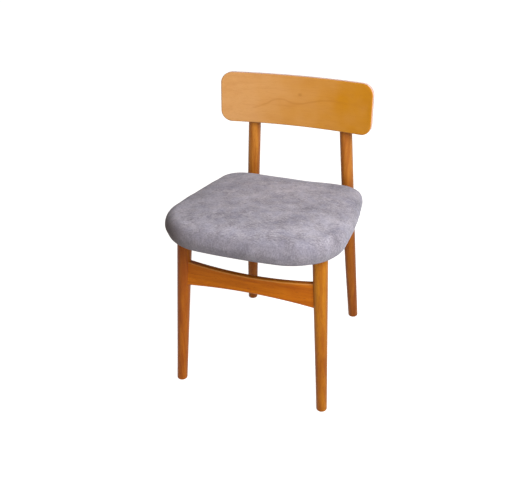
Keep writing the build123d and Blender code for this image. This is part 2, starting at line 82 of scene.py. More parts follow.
# Kinds of node
COORDINATES = "ShaderNodeTexCoord"
MAPPING = "ShaderNodeMapping"
NOISE = "ShaderNodeTexNoise"
RANGE = "ShaderNodeMapRange"
MIX = "ShaderNodeMix"
MATH = "ShaderNodeMath"
VECTOR_MATH = "ShaderNodeVectorMath"
SEPARATE = "ShaderNodeSeparateXYZ"
BUMP = "ShaderNodeBump"
SHADER = "ShaderNodeBsdfPrincipled"
SURFACE = "ShaderNodeOutputMaterial"
RECTANGLE = "GeometryNodeCurvePrimitiveQuadrilateral"

# Figure of the backrest's face veneer: millimetres to the right of and above the panel's middle
GROWTH_LINE = (
    (-201, -40), (-126, -29), (-84, -15), (-42, 0), (-4, -9), (33, -2), (78, 8), (117, 8), (201, 14),
)
LINE_CORE = 0.4
LINE_HALO = 4.0
LINE_RAGGED = 5.0
LINE_FADES_FROM = 85
LINE_FADES_TO = 150
KNOT = (7, 18)
KNOT_CORE = 0.6
KNOT_HALO = 6.0
KNOT_SQUEEZE = (0.75, 0.0, 1.0)
VENEER_BLUR = 0.1

# Heights in millimetres between which the rear legs' painted shade of the seat fades into the tint of the
# posts
SEAT_SHADE_FULL_TO = 380
POST_GLAZE_FROM = 480

# Points closer than this are one point of the cushion's hull
SAME_POINT = 0.05 * MM


def linear(code):
    """Linear red, green and blue of an sRGB hex colour."""
    shares = [int(code[start:start + 2], 16) / 255 for start in (1, 3, 5)]
    return tuple(s / 12.92 if s <= 0.04045 else ((s + 0.055) / 1.055) ** 2.4 for s in shares)


def opaque(colour, shade=1.0):
    """A colour with full alpha, as a socket takes it, made darker or lighter by shade."""
    return (*[min(1.0, share * shade) for share in colour[:3]], 1.0)


# Settings


def colour_setting(name, code, words):
    """Colour property of a settings group."""
    return bpy.props.FloatVectorProperty(
        name=name, description=words, subtype="COLOR", size=3, min=0, max=1, default=linear(code)
    )


def length_setting(name, millimetres, words):
    """Length property of a settings group."""
    return bpy.props.FloatProperty(
        name=name, description=words, unit="LENGTH", subtype="DISTANCE", precision=4, min=0,
        default=millimetres * MM,
    )


def number_setting(name, value, words, low=0.0, high=100.0):
    """Plain number property of a settings group."""
    return bpy.props.FloatProperty(name=name, description=words, min=low, max=high, default=value)


def count_setting(name, value, words, low, high):
    """Whole number property of a settings group."""
    return bpy.props.IntProperty(name=name, description=words, min=low, max=high, default=value)


def angle_setting(name, degrees, words):
    """Angle property of a settings group."""
    return bpy.props.FloatProperty(
        name=name, description=words, unit="ROTATION", subtype="ANGLE", default=radians(degrees)
    )


def power_setting(name, watts, words):
    """Lamp power property of a settings group."""
    return bpy.props.FloatProperty(name=name, description=words, unit="POWER", min=0, default=watts)


class ChairWoodSettings(bpy.types.PropertyGroup):
    """Colours of the stained frame and the veneered backrest."""

    beech_light: colour_setting("Beech, pale bands", "#D18632", "Stain on the pale growth bands")
    beech_dark: colour_setting("Beech, dark bands", "#AF6520", "Stain on the dark growth bands")
    beech_red: colour_setting("Beech, red patches", "#A0511D", "Stain where the wood drinks more of it")
    beech_fleck: colour_setting("Beech flecks", "#844215", "Short ray flecks along the grain")
    # The pale veneer colour also paints sheen on the backrest's left side
    veneer_pale_and_sheen: colour_setting("Veneer, pale", "#D8A268", "Pale, pinkish parts of the backrest veneer")
    veneer_dark: colour_setting("Veneer, amber", "#C58216", "Amber parts of the backrest veneer")
    veneer_figure: colour_setting("Veneer figure", "#A9611C", "Wandering growth line and knot")
    ply_light: colour_setting("Rim, pale plies", "#EAC6B8", "Plies cut along their grain")
    ply_dark: colour_setting("Rim, dark plies", "#D8AC98", "Plies cut across their grain")
    # The left front leg's glaze is darker and redder than the right one's: painted shade
    left_glaze_and_shade: colour_setting("Glaze, left leg", "#DBC484", "Tint of the stain on the left front leg")
    right_glaze: colour_setting("Glaze, right leg", "#E6E488", "Tint of the stain on the right front leg")
    # The posts' near-white glaze keeps them paler than the legs: painted reflection
    post_glaze_and_sheen: colour_setting("Glaze, posts", "#F8FCFF", "Tint of the stain above the seat")
    # The rear legs' glaze below the seat paints the seat's shade
    rear_glaze_and_seat_shade: colour_setting("Glaze, rear legs", "#D2C49A", "Tint of the stain below the seat")
    rail_glaze: colour_setting("Glaze, rails", "#F5DA42", "Tint of the stain on the rails")
    # The arris colour is a painted highlight
    arris_highlight: colour_setting("Beech, arrises", "#D69650", "Edges where the stain is sanded through")
    bare: colour_setting("Bare wood", "#C9A57A", "Planed wood with no finish")
    panel_radius: length_setting("Backrest radius", 830.0, "Bend of the backrest's front face")
    panel_thick: length_setting("Backrest thickness", 13.5, "Thickness of the backrest")
    panel_tilt: angle_setting("Backrest tilt", 5.5, "Lean of the backrest towards the back")
    face_veneer: length_setting("Face veneer", 1.2, "Thickness of the face veneers")
    ply_thick: length_setting("Ply", 1.6, "Thickness of one inner ply")


class ChairSeatSettings(bpy.types.PropertyGroup):
    """Padding and cloth of the seat."""

    rake: angle_setting("Rake", 4.6, "Fall of the seat towards the back")
    voxel: length_setting("Mesh size", 5.0, "Voxel size of the cushion before it is blown up")
    rounding: count_setting("Rounding", 40, "Rounds in which the foam's edges are rolled over", 0, 200)
    start_inset: length_setting("Start inset", 3.0, "How far the cushion starts inside its final form")
    roll_out: length_setting("Roll out", 7.6, "How far the rolled edges are filled out again")
    crown: length_setting("Crown", 3.8, "How far the level top is filled out")
    pressure: number_setting("Pressure", 4.0, "Air pressure that fills the cushion", 0.0, 20.0)
    tension: number_setting("Tension", 80.0, "Stiffness of the stretched cover", 0.0, 500.0)
    swell_cap: length_setting("Swell limit", 6.0, "Furthest that a point of the cushion may move")
    evening: count_setting("Evening", 40, "Rounds in which the foam evens out the swelling", 0, 200)
    pinned: length_setting("Held height", 6.0, "Height over the board's underside that is held by staples")
    pile_light: colour_setting("Pile, light", "#C3BDC2", "Brushed pile lying towards the light")
    pile_mid: colour_setting("Pile, middle", "#A49EA3", "Brushed pile, mean colour")
    pile_dark: colour_setting("Pile, dark", "#7F797F", "Brushed pile lying away from the light")
    # Both tints paint shade on the cushion's rolled edges
    front_roll_painted_shade: colour_setting("Pile, front roll", "#D5D5D7", "Tint of the pile on the front roll")
    left_side_painted_shade: colour_setting("Pile, left side", "#A69280", "Tint of the pile on the left side")
    calm: number_setting("Calm edges", 0.35, "How far the rolled edges lose their patches", 0.0, 1.0)
    pile_cool: colour_setting("Pile, cool", "#A2A1B4", "Bluish tint of some patches")
    pile_sheen: colour_setting("Pile, sheen", "#E7F1FF", "Cool shine of the pile at a low angle")
    brush_turn: angle_setting("Brush turn", -8.0, "Turn of the brush marks on the level top")
    brush_sway: length_setting("Brush sway", 25.0, "How far the brush marks wander")
    cloth_black: colour_setting("Dust cloth", "#1E1D1C", "Spun cloth under the seat")
    cover_thick: length_setting("Cover thickness", 1.2, "Thickness of the cover where it is folded under")
    cloth_thick: length_setting("Dust cloth thickness", 0.8, "Thickness of the dust cloth")


class ChairHardwareSettings(bpy.types.PropertyGroup):
    """Fasteners and glides."""

    steel: colour_setting("Zinc plate", "#B9B7B0", "Zinc on the screws, nails and staples")
    nylon: colour_setting("Nylon", "#6A3D18", "Moulded glides")
    staple_count: count_setting("Staples", 24, "Staples round the underside of the seat", 4, 80)
    staple_crown: length_setting("Staple crown", 10.0, "Width of a staple")
    staple_wire: length_setting("Staple wire", 0.8, "Thickness of the staple wire")
    staple_width: length_setting("Staple band", 1.2, "Width of the flattened staple wire")
    staple_leg: length_setting("Staple leg", 7.0, "Length of a staple's legs")
    staple_inset: length_setting("Staple inset", 3.0, "From the dust cloth's edge to the staples")


class ChairStageSettings(bpy.types.PropertyGroup):
    """Camera, lamps and floor."""

    camera_place: bpy.props.FloatVectorProperty(
        name="Camera", description="Place of the camera", subtype="TRANSLATION", unit="LENGTH", size=3,
        default=(0.6079, -1.6089, 1.2932),
    )
    camera_turn: angle_setting("Camera turn", 21.557, "Turn of the camera about the upright axis")
    camera_pitch: angle_setting("Camera pitch", 29.596, "How far the camera looks down")
    camera_roll: angle_setting("Camera roll", 1.639, "Tilt of the picture")
    focal_pixels: number_setting("Focal length", 774.61, "Focal length in pixels of the picture", 100, 5000)
    floor_colour: colour_setting("Floor", "#BBB6AF", "Plain pale floor")
    floor_glow: number_setting("Floor glow", 0.96, "What the floor adds to its lit colour where it is seen")
    sky: number_setting("Sky light", 0.15, "Strength of the even light from all round")
    key: power_setting("Key lamp", 55.0, "Power of the large lamp high in front on the right")
    front: power_setting("Front lamp", 12.0, "Power of the low lamp in front")
    back: power_setting("Back lamp", 14.0, "Power of the lamp behind")
    key_colour: colour_setting("Key colour", "#F3F6FF", "Daylight of the key lamp")
    sky_colour: colour_setting("Sky colour", "#FFE8D6", "Warmer light from all round")
    fill_colour: colour_setting("Fill colour", "#FFF9F2", "Light of the lamps in front and behind")


# Nodes and meshes


def node(tree, kind, inputs=None, **settings):
    """Add one node, set its properties, and fill its inputs with values, sockets or other nodes."""
    made = tree.nodes.new(kind)
    for name, value in settings.items():
        setattr(made, name, value)
    for key, value in (inputs or {}).items():
        named = [socket for socket in made.inputs if socket.enabled and socket.name == key]
        socket = named[0] if named else made.inputs[key]
        if isinstance(value, bpy.types.Node):
            value = next(output for output in value.outputs if output.enabled)
        if isinstance(value, bpy.types.NodeSocket):
            tree.links.new(value, socket)
        else:
            socket.default_value = value
    return made


def new_material(name):
    """Empty material, with its tree and the place on the piece that its patterns read."""
    material = bpy.data.materials.new(name)
    material.use_nodes = True
    tree = material.node_tree
    tree.nodes.clear()
    return material, tree, node(tree, COORDINATES).outputs["Object"]


def per_mm(size):
    """Scale of a pattern whose marks are a number of millimetres wide."""
    return 1 / (size * MM)


def drawn_out(along, stretch):
    """Scale of a pattern that is drawn out along one axis."""
    return tuple(1 / stretch if axis == along else 1.0 for axis in "XYZ")


def dress(names, material):
    """Give CAD nodes a material."""
    for name in names:
        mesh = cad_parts[name].data
        mesh.materials.clear()
        mesh.materials.append(material)


def new_piece(name, mesh, material):
    """Object at the origin, with its place in its mesh."""
    piece = bpy.data.objects.new(name, mesh)
    bpy.context.scene.collection.objects.link(piece)
    mesh.materials.clear()
    mesh.materials.append(material)
    mesh.shade_smooth()
    return piece


def applied(piece):
    """Plain mesh of a piece with its modifiers carried out."""
    bpy.context.view_layer.update()
    seen = piece.evaluated_get(bpy.context.evaluated_depsgraph_get())
    return bpy.data.meshes.new_from_object(seen)


# Materials


def stained_beech(name, along, glaze_and_painted_light, low_glaze_and_seat_shade=None):
    """Beech, turned or planed, stained honey and sprayed with satin lacquer.

    Gives the eye soft growth bands, hair-fine lines and short dark flecks along the grain under a clear
    film, and a painted highlight on arrises. The glazes tint the stain, and some paint light and shade:
    the seat's shade on the rear legs below the seat.
    """
    wood = bpy.context.scene.chair_wood
    material, tree, place = new_material(name)
    long_grain, hair_grain, short_grain, soft_grain = [
        node(tree, MAPPING, {"Vector": place, "Scale": drawn_out(along, stretch)})
        for stretch in (16, 70, 7, 3)
    ]
    bands = node(tree, NOISE, {"Vector": long_grain, "Scale": per_mm(13), "Detail": 3.0, "Distortion": 0.8})
    # Real pores and ray flecks are narrower and too fine to show, so they are drawn this coarse
    lines = node(tree, NOISE, {"Vector": hair_grain, "Scale": per_mm(1.4), "Detail": 2.0})
    flecks = node(tree, NOISE, {"Vector": short_grain, "Scale": per_mm(1.3), "Detail": 0.0})
    clouds = node(tree, NOISE, {
        "Vector": soft_grain, "Scale": per_mm(40), "Detail": 2.0, "Distortion": 0.3,
    })
    share = node(tree, RANGE, {"Value": bands, "From Min": 0.34, "From Max": 0.66})
    base = node(tree, MIX, {
        "Factor": share, "A": opaque(wood.beech_dark), "B": opaque(wood.beech_light),
    }, data_type="RGBA")
    for pattern, low, high, most, stain in (
        (clouds, 0.46, 0.72, 0.5, wood.beech_red),
        (lines, 0.5, 0.78, 0.4, wood.beech_red),
        (flecks, 0.66, 0.78, 0.4, wood.beech_fleck),
    ):
        share = node(tree, RANGE, {"Value": pattern, "From Min": low, "From Max": high, "To Max": most})
        base = node(tree, MIX, {"Factor": share, "A": base, "B": opaque(stain)}, data_type="RGBA")

    # The tint of each part multiplies the whole stain; below the seat it paints the seat's shade on the rear
    # legs
    height = node(tree, SEPARATE, {"Vector": place}).outputs["Z"]
    share = node(tree, RANGE, {
        "Value": height, "From Min": SEAT_SHADE_FULL_TO * MM, "From Max": POST_GLAZE_FROM * MM,
    })
    tint = node(tree, MIX, {
        "Factor": share, "A": opaque(low_glaze_and_seat_shade or glaze_and_painted_light), "B": opaque(glaze_and_painted_light),
    }, data_type="RGBA")
    base = node(tree, MIX, {"Factor": 1.0, "A": base, "B": tint}, data_type="RGBA", blend_type="MULTIPLY")

    # Painted highlight: the stain is drawn paler on arrises that look up to the front or down to the back
    facing = node(tree, SEPARATE, {"Vector": node(tree, COORDINATES).outputs["Normal"]})
    turned = node(tree, MATH, {0: facing.outputs["Y"], 1: facing.outputs["Z"]}, operation="MULTIPLY")
    share = node(tree, RANGE, {"Value": turned, "From Min": -0.15, "From Max": -0.45, "To Max": 0.6})
    base = node(tree, MIX, {"Factor": share, "A": base, "B": opaque(wood.arris_highlight)}, data_type="RGBA")
    dull = node(tree, RANGE, {
        "Value": lines, "From Min": 0.3, "From Max": 0.7, "To Min": 0.34, "To Max": 0.44,
    })
    pores = node(tree, BUMP, {"Height": lines, "Distance": 0.06 * MM, "Strength": 0.25})
    shader = node(tree, SHADER, {
        "Base Color": base, "Roughness": dull, "Normal": pores, "IOR": 1.5, "Specular IOR Level": 0.13,
        "Coat Weight": 0.05, "Coat Roughness": 0.2, "Coat IOR": 1.5,
    })
    node(tree, SURFACE, {"Surface": shader})
    return material


def panel_place(tree, place):
    """Place on the backrest, measured from the middle of its front face with the panel set upright."""
    wood = bpy.context.scene.chair_wood
    upright = Matrix.Rotation(wood.panel_tilt, 3, "X")
    spots = [upright @ vertex.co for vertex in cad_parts["backrest_panel"].data.vertices]
    heights = [spot.z for spot in spots]
    front = max(spot.y for spot in spots) - wood.panel_thick
    middle = (0.0, -front, -(min(heights) + max(heights)) / 2)
    return node(tree, MAPPING, {
        "Vector": place, "Rotation": (wood.panel_tilt, 0.0, 0.0), "Location": middle,
    })


def veneered_plywood():
    """Moulded plywood with a rotary-cut face veneer, stained and lacquered.

    Gives the eye faint level grain, one wandering growth line, a pin knot, and pale plies round the rim.
    """
    wood = bpy.context.scene.chair_wood
    material, tree, place = new_material("moulded_plywood_satin_lacquer")
    local = panel_place(tree, place)
    across = node(tree, SEPARATE, {"Vector": local})
    long_grain = node(tree, MAPPING, {"Vector": local, "Scale": drawn_out("X", 9)})
    hair_grain = node(tree, MAPPING, {"Vector": local, "Scale": drawn_out("X", 40)})
    bands = node(tree, NOISE, {"Vector": long_grain, "Scale": per_mm(14), "Detail": 3.0, "Distortion": 1.2})
    # Real pores are narrower and too fine to show, so their lines are drawn this coarse
    lines = node(tree, NOISE, {"Vector": hair_grain, "Scale": per_mm(1.6), "Detail": 2.0})
    clouds = node(tree, NOISE, {"Vector": local, "Scale": per_mm(75), "Detail": 2.0})

    # The veneer runs from a pale, pinkish left side, which is painted sheen, to an amber side on the right
    half = (CAD_BOX[1].x - CAD_BOX[0].x) / 2
    side = node(tree, RANGE, {
        "Value": across.outputs["X"], "From Min": -half, "From Max": half, "To Min": -0.18, "To Max": 0.72,
    })
    patch = node(tree, MATH, {0: clouds, 1: 0.6, 2: side}, operation="MULTIPLY_ADD")
    share = node(tree, RANGE, {"Value": patch, "From Min": 0.0, "From Max": 0.95})
    base = node(tree, MIX, {
        "Factor": share, "A": opaque(wood.veneer_pale_and_sheen), "B": opaque(wood.veneer_dark),
    }, data_type="RGBA")
    figure = opaque(wood.veneer_figure)
    for pattern, low, high, most in ((bands, 0.45, 0.72, 0.16), (lines, 0.5, 0.8, 0.22)):
        share = node(tree, RANGE, {"Value": pattern, "From Min": low, "From Max": high, "To Max": most})
        base = node(tree, MIX, {"Factor": share, "A": base, "B": figure}, data_type="RGBA")

    # One growth line wanders across the face
    reach, rise = GROWTH_LINE[-1][0] * MM, -GROWTH_LINE[0][1] * MM
    along = node(tree, RANGE, {"Value": across.outputs["X"], "From Min": -reach, "From Max": reach})
    line = node(tree, "ShaderNodeFloatCurve", {"Value": along})
    points = [(0.5 + 0.5 * x * MM / reach, 0.5 + 0.5 * z * MM / rise) for x, z in GROWTH_LINE]
    curve = line.mapping.curves[0]
    curve.points[0].location, curve.points[1].location = points[0], points[-1]
    for point in points[1:-1]:
        curve.points.new(*point)
    line.mapping.update()
    goal = node(tree, RANGE, {"Value": line, "To Min": -rise, "To Max": rise})
    ragged = node(tree, MATH, {0: bands, 1: LINE_RAGGED * MM, 2: goal}, operation="MULTIPLY_ADD")
    away = node(tree, MATH, {0: across.outputs["Z"], 1: ragged}, operation="SUBTRACT")
    away = node(tree, MATH, {0: away}, operation="ABSOLUTE")
    share = node(tree, RANGE, {
        "Value": away, "From Min": LINE_CORE * MM, "From Max": LINE_HALO * MM, "To Min": 0.24, "To Max": 0.0,
    }, interpolation_type="SMOOTHSTEP")
    from_middle = node(tree, MATH, {0: across.outputs["X"]}, operation="ABSOLUTE")
    fade = node(tree, RANGE, {
        "Value": from_middle, "From Min": LINE_FADES_FROM * MM, "From Max": LINE_FADES_TO * MM,
        "To Min": 1.0, "To Max": 0.0,
    }, interpolation_type="SMOOTHSTEP")
    share = node(tree, MATH, {0: share, 1: fade}, operation="MULTIPLY")
    base = node(tree, MIX, {"Factor": share, "A": base, "B": figure}, data_type="RGBA")

    # A pin knot with a soft halo
    spot = node(tree, VECTOR_MATH, {0: local, 1: (KNOT[0] * MM, 0.0, KNOT[1] * MM)}, operation="SUBTRACT")
    spot = node(tree, VECTOR_MATH, {0: spot, 1: KNOT_SQUEEZE}, operation="MULTIPLY")
    spot = node(tree, VECTOR_MATH, {0: spot}, operation="LENGTH")
    share = node(tree, RANGE, {
        "Value": spot, "From Min": KNOT_CORE * MM, "From Max": KNOT_HALO * MM, "To Min": 0.38, "To Max": 0.0,
    }, interpolation_type="SMOOTHSTEP")
    knot_colour = opaque(wood.veneer_figure, 0.8)
    base = node(tree, MIX, {"Factor": share, "A": base, "B": knot_colour}, data_type="RGBA")

    # Between the face veneers the rim shows the plies, told by the depth below the bent front face
    from_axis = node(tree, VECTOR_MATH, {0: local, 1: (0.0, wood.panel_radius, 0.0)}, operation="ADD")
    from_axis = node(tree, VECTOR_MATH, {0: from_axis, 1: (1.0, 1.0, 0.0)}, operation="MULTIPLY")
    from_axis = node(tree, VECTOR_MATH, {0: from_axis}, operation="LENGTH")
    depth = node(tree, MATH, {0: from_axis, 1: wood.panel_radius}, operation="SUBTRACT")
    from_core = node(tree, MATH, {0: depth, 1: wood.panel_thick / 2}, operation="SUBTRACT")
    from_core = node(tree, MATH, {0: from_core}, operation="ABSOLUTE")
    inner = wood.panel_thick / 2 - wood.face_veneer
    rim = node(tree, RANGE, {
        "Value": from_core, "From Min": inner - VENEER_BLUR * MM, "From Max": inner + VENEER_BLUR * MM,
        "To Min": 1.0, "To Max": 0.0,
    })
    stripe = node(tree, MATH, {0: depth, 1: wood.ply_thick}, operation="PINGPONG")
    stripe = node(tree, RANGE, {
        "Value": stripe, "From Min": 0.35 * wood.ply_thick, "From Max": 0.65 * wood.ply_thick,
    })
    plies = node(tree, MIX, {
        "Factor": stripe, "A": opaque(wood.ply_light), "B": opaque(wood.ply_dark),
    }, data_type="RGBA")
    base = node(tree, MIX, {"Factor": rim, "A": base, "B": plies}, data_type="RGBA")

    dull = node(tree, RANGE, {
        "Value": lines, "From Min": 0.3, "From Max": 0.7, "To Min": 0.38, "To Max": 0.48,
    })
    pores = node(tree, BUMP, {"Height": lines, "Distance": 0.05 * MM, "Strength": 0.2})
    shader = node(tree, SHADER, {
        "Base Color": base, "Roughness": dull, "Normal": pores, "IOR": 1.5, "Specular IOR Level": 0.18,
        "Coat Weight": 0.06, "Coat Roughness": 0.25, "Coat IOR": 1.5,
    })
    node(tree, SURFACE, {"Surface": shader})
    return material


def bare_wood(name, along):
    """Planed beech or sanded plywood with no finish: pale, dull, with fine grain lines."""
    wood = bpy.context.scene.chair_wood
    material, tree, place = new_material(name)
    long_grain = node(tree, MAPPING, {"Vector": place, "Scale": drawn_out(along, 12)})
    hair_grain = node(tree, MAPPING, {"Vector": place, "Scale": drawn_out(along, 50)})
    bands = node(tree, NOISE, {"Vector": long_grain, "Scale": per_mm(9), "Detail": 3.0, "Distortion": 0.5})
    # Real pores are narrower and too fine to show, so their lines are drawn this coarse
    lines = node(tree, NOISE, {"Vector": hair_grain, "Scale": per_mm(1.2), "Detail": 2.0})
    dark = opaque(wood.bare, 0.72)
    share = node(tree, RANGE, {"Value": bands, "From Min": 0.35, "From Max": 0.65})
    base = node(tree, MIX, {"Factor": share, "A": opaque(wood.bare), "B": dark}, data_type="RGBA")
    share = node(tree, RANGE, {"Value": lines, "From Min": 0.5, "From Max": 0.75, "To Max": 0.5})
    base = node(tree, MIX, {"Factor": share, "A": base, "B": dark}, data_type="RGBA")
    dull = node(tree, RANGE, {
        "Value": lines, "From Min": 0.3, "From Max": 0.7, "To Min": 0.62, "To Max": 0.75,
    })
    pores = node(tree, BUMP, {"Height": lines, "Distance": 0.1 * MM, "Strength": 0.4})
    shader = node(tree, SHADER, {"Base Color": base, "Roughness": dull, "Normal": pores, "IOR": 1.5})
    node(tree, SURFACE, {"Surface": shader})
    return material


def brushed_pile():
    """Short brushed polyester pile on a knitted back.

    Gives the eye cloudy patches and short brush marks where the pile lies over, level on top and upright
    on the sides, with calmer edges and painted shade on the front roll and the left side.
    """
    seat = bpy.context.scene.chair_seat
    material, tree, place = new_material("brushed_polyester_pile")
    bend = node(tree, NOISE, {"Vector": place, "Scale": per_mm(35), "Detail": 2.0})
    bend = node(tree, VECTOR_MATH, {0: bend.outputs["Color"], 1: (0.5, 0.5, 0.5)}, operation="SUBTRACT")
    sway = (seat.brush_sway,) * 3
    warped = node(tree, VECTOR_MATH, {0: bend, 1: sway, 2: place}, operation="MULTIPLY_ADD")
    swept = node(tree, MAPPING, {
        "Vector": warped, "Rotation": (0.0, 0.0, seat.brush_turn), "Scale": drawn_out("X", 6),
    })
    hanging = node(tree, MAPPING, {"Vector": warped, "Scale": drawn_out("Z", 6)})
    clouds = node(tree, NOISE, {"Vector": warped, "Scale": per_mm(60), "Detail": 2.0})
    patches = node(tree, NOISE, {"Vector": warped, "Scale": per_mm(17), "Detail": 3.0, "Distortion": 0.4})
    level = node(tree, NOISE, {"Vector": swept, "Scale": per_mm(2.2), "Detail": 2.0})
    upright = node(tree, NOISE, {"Vector": hanging, "Scale": per_mm(2.2), "Detail": 2.0})
    facing = node(tree, SEPARATE, {"Vector": node(tree, COORDINATES).outputs["Normal"]})
    share = node(tree, RANGE, {"Value": facing.outputs["Z"], "From Min": 0.4, "From Max": 0.85})
    marks = node(tree, MIX, {"Factor": share, "A": upright, "B": level})
    # Single fibres are too fine to show, so the pile is drawn as tufts
    tufts = node(tree, NOISE, {"Vector": place, "Scale": per_mm(3.6), "Detail": 1.0})
    cool = node(tree, NOISE, {"Vector": warped, "Scale": per_mm(28), "Detail": 2.0})
    total = 0.0
    for layer, weight in ((clouds, 0.28), (patches, 0.15), (marks, 0.33), (tufts, 0.24)):
        total = node(tree, MATH, {0: layer, 1: weight, 2: total}, operation="MULTIPLY_ADD")
    share = node(tree, RANGE, {"Value": total, "From Min": 0.40, "From Max": 0.50})
    base = node(tree, MIX, {
        "Factor": share, "A": opaque(seat.pile_dark), "B": opaque(seat.pile_mid),
    }, data_type="RGBA")
    share = node(tree, RANGE, {"Value": total, "From Min": 0.50, "From Max": 0.60})
    base = node(tree, MIX, {"Factor": share, "A": base, "B": opaque(seat.pile_light)}, data_type="RGBA")
    share = node(tree, RANGE, {"Value": cool, "From Min": 0.4, "From Max": 0.7, "To Max": 0.3})
    base = node(tree, MIX, {"Factor": share, "A": base, "B": opaque(seat.pile_cool)}, data_type="RGBA")

    # Painted shade on the rolled edges: the front roll darker, the left side darker and browner, with their
    # patches calmed
    for axis, shade in (("Y", seat.front_roll_painted_shade), ("X", seat.left_side_painted_shade)):
        share = node(tree, RANGE, {"Value": facing.outputs[axis], "From Min": -0.1, "From Max": -0.7})
        calm = node(tree, MATH, {0: share, 1: seat.calm}, operation="MULTIPLY")
        base = node(tree, MIX, {"Factor": calm, "A": base, "B": opaque(seat.pile_mid)}, data_type="RGBA")
        base = node(tree, MIX, {
            "Factor": share, "A": base, "B": opaque(shade),
        }, data_type="RGBA", blend_type="MULTIPLY")
    nap = node(tree, BUMP, {"Height": total, "Distance": 0.7 * MM, "Strength": 0.35})
    shader = node(tree, SHADER, {
        "Base Color": base, "Normal": nap, "Roughness": 0.95, "Specular IOR Level": 0.15,
        "Sheen Weight": 0.22, "Sheen Roughness": 0.5, "Sheen Tint": opaque(seat.pile_sheen),
    })
    node(tree, SURFACE, {"Surface": shader})
    return material


def spun_cloth():
    """Spun-bonded polypropylene dust cloth: matt black, with a grid of pressed points 2.5 mm apart."""
    seat = bpy.context.scene.chair_seat
    material, tree, place = new_material("spun_bonded_dust_cloth")
    points = node(tree, "ShaderNodeTexVoronoi", {"Vector": place, "Scale": per_mm(2.5), "Randomness": 0.15})
    # Real fibres are too fine to show, so they are drawn this coarse
    fibres = node(tree, NOISE, {"Vector": place, "Scale": per_mm(1.4), "Detail": 2.0})
    share = node(tree, RANGE, {"Value": fibres, "From Min": 0.4, "From Max": 0.7})
    base = node(tree, MIX, {
        "Factor": share, "A": opaque(seat.cloth_black), "B": opaque(seat.cloth_black, 2.4),
    }, data_type="RGBA")
    pressed = node(tree, RANGE, {"Value": points, "From Min": 0.15, "From Max": 0.35})
    dents = node(tree, BUMP, {"Height": pressed, "Distance": 0.15 * MM, "Strength": 0.6})
    shader = node(tree, SHADER, {
        "Base Color": base, "Normal": dents, "Roughness": 0.9, "Specular IOR Level": 0.2,
    })
    node(tree, SURFACE, {"Surface": shader})
    return material


def zinc_plate():
    """Zinc-plated steel: a thin metal skin, slightly clouded and satin."""
    hardware = bpy.context.scene.chair_hardware
    material, tree, place = new_material("zinc_plated_steel")
    cloud = node(tree, NOISE, {"Vector": place, "Scale": per_mm(1.6), "Detail": 2.0})
    share = node(tree, RANGE, {"Value": cloud, "From Min": 0.35, "From Max": 0.65})
    base = node(tree, MIX, {
        "Factor": share, "A": opaque(hardware.steel), "B": opaque(hardware.steel, 0.7),
    }, data_type="RGBA")
    dull = node(tree, RANGE, {
        "Value": cloud, "From Min": 0.3, "From Max": 0.7, "To Min": 0.28, "To Max": 0.42,
    })
    shader = node(tree, SHADER, {"Base Color": base, "Roughness": dull, "Metallic": 1.0})
    node(tree, SURFACE, {"Surface": shader})
    return material


def moulded_nylon():
    """Injection-moulded nylon: dull, faintly scuffed where it slides."""
    hardware = bpy.context.scene.chair_hardware
    material, tree, place = new_material("moulded_nylon")
    scuff = node(tree, NOISE, {"Vector": place, "Scale": per_mm(1.2), "Detail": 3.0})
    share = node(tree, RANGE, {"Value": scuff, "From Min": 0.45, "From Max": 0.7})
    base = node(tree, MIX, {
        "Factor": share, "A": opaque(hardware.nylon), "B": opaque(hardware.nylon, 1.3),
    }, data_type="RGBA")
    dull = node(tree, RANGE, {
        "Value": scuff, "From Min": 0.3, "From Max": 0.7, "To Min": 0.45, "To Max": 0.6,
    })
    shader = node(tree, SHADER, {"Base Color": base, "Roughness": dull, "IOR": 1.53})
    node(tree, SURFACE, {"Surface": shader})
    return material


# Seat


def seat_frame():
    """Matrix from the raked seat, with the board's underside at height 0, to the chair."""
    low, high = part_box("seat_board")
    rake = bpy.context.scene.chair_seat.rake
    corner = Vector((0, high.y, low.z))
    turn = Matrix.Rotation(-rake, 4, "X")
    return Matrix.Translation(corner) @ turn @ Matrix.Translation((0, -corner.y, 0))


def hull(node_name):
    """Closed mesh stretched tight round a CAD node."""
    shape = bmesh.new()
    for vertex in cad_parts[node_name].data.vertices:
        shape.verts.new(vertex.co)
    bmesh.ops.remove_doubles(shape, verts=shape.verts, dist=SAME_POINT)
    made = bmesh.ops.convex_hull(shape, input=shape.verts)
    inner = [part for part in made["geom_interior"] if isinstance(part, bmesh.types.BMVert)]
    bmesh.ops.delete(shape, geom=inner, context="VERTS")
    bmesh.ops.recalc_face_normals(shape, faces=shape.faces)
    mesh = bpy.data.meshes.new(node_name + "_hull")
    shape.to_mesh(mesh)
    shape.free()
    return mesh


def numbers(items, name, kind, width):
    """Array of one property of a mesh's items, one row each."""
    flat = numpy.empty(len(items) * width, kind)
    items.foreach_get(name, flat)
    return flat.reshape(-1, width)


def evened(mesh, values, rounds):
    """Rows of numbers, one per vertex, drawn towards those of the vertices next to it."""
    ends = numbers(mesh.edges, "vertices", numpy.int32, 2)
    there, back = ends.ravel(), ends[:, ::-1].ravel()
    degree = numpy.bincount(there, minlength=len(values))[:, None]
    for _ in range(rounds):
        columns = [numpy.bincount(there, column[back], len(values)) for column in values.T]
        values = (values + numpy.stack(columns, 1) / degree) / 2
    return values


